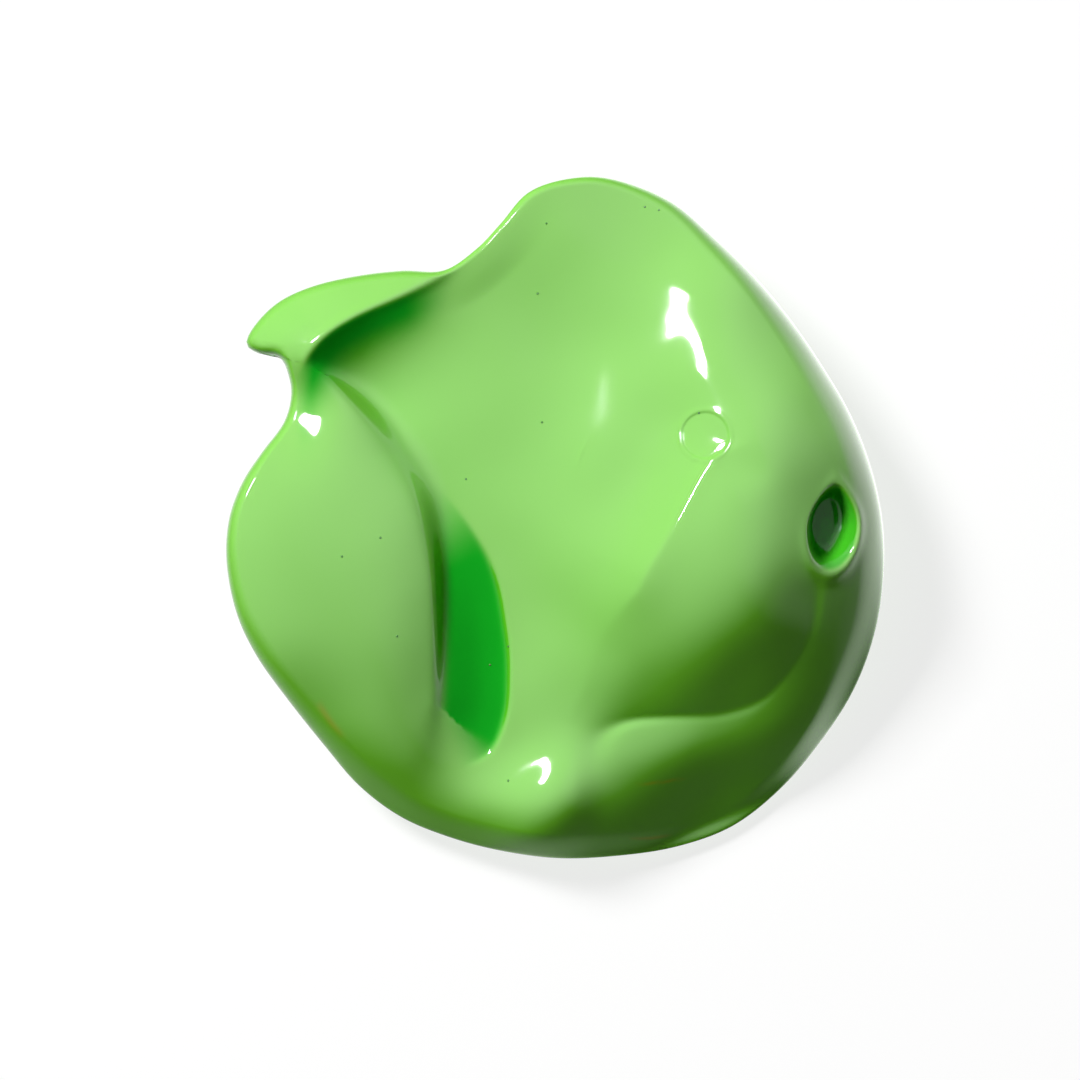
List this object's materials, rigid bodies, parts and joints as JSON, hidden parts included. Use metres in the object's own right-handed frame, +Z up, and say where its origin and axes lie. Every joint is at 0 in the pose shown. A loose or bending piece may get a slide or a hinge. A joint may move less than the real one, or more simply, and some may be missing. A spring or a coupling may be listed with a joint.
{
  "type": "paint dollop",
  "caption": "Dollop of thick glossy green paint: a scooped pour with a curled lip, a smooth lobe beside a deep crevice, a rounded mound and settled ledges.",
  "frame": {"origin": "centre of the footprint, on the table the dollop rests on", "axes": "+X from the left lobe to the right shoulder, +Y towards the raised lip, +Z up"},
  "size_m": [0.0607, 0.063, 0.0188],
  "materials": {
    "slumped_foot": "gloss",
    "left_lobe": "gloss",
    "lip_curl": "gloss",
    "scoop_pour": "gloss",
    "right_mound": "gloss",
    "inner_ledge": "gloss",
    "outer_ledge": "gloss",
    "closing_rim": "gloss"
  },
  "bodies": {
    "root": {"slumped_foot": "slumped_foot", "left_lobe": "left_lobe", "lip_curl": "lip_curl", "scoop_pour": "scoop_pour", "right_mound": "right_mound", "inner_ledge": "inner_ledge", "outer_ledge": "outer_ledge", "closing_rim": "closing_rim"}
  },
  "joints": []
}
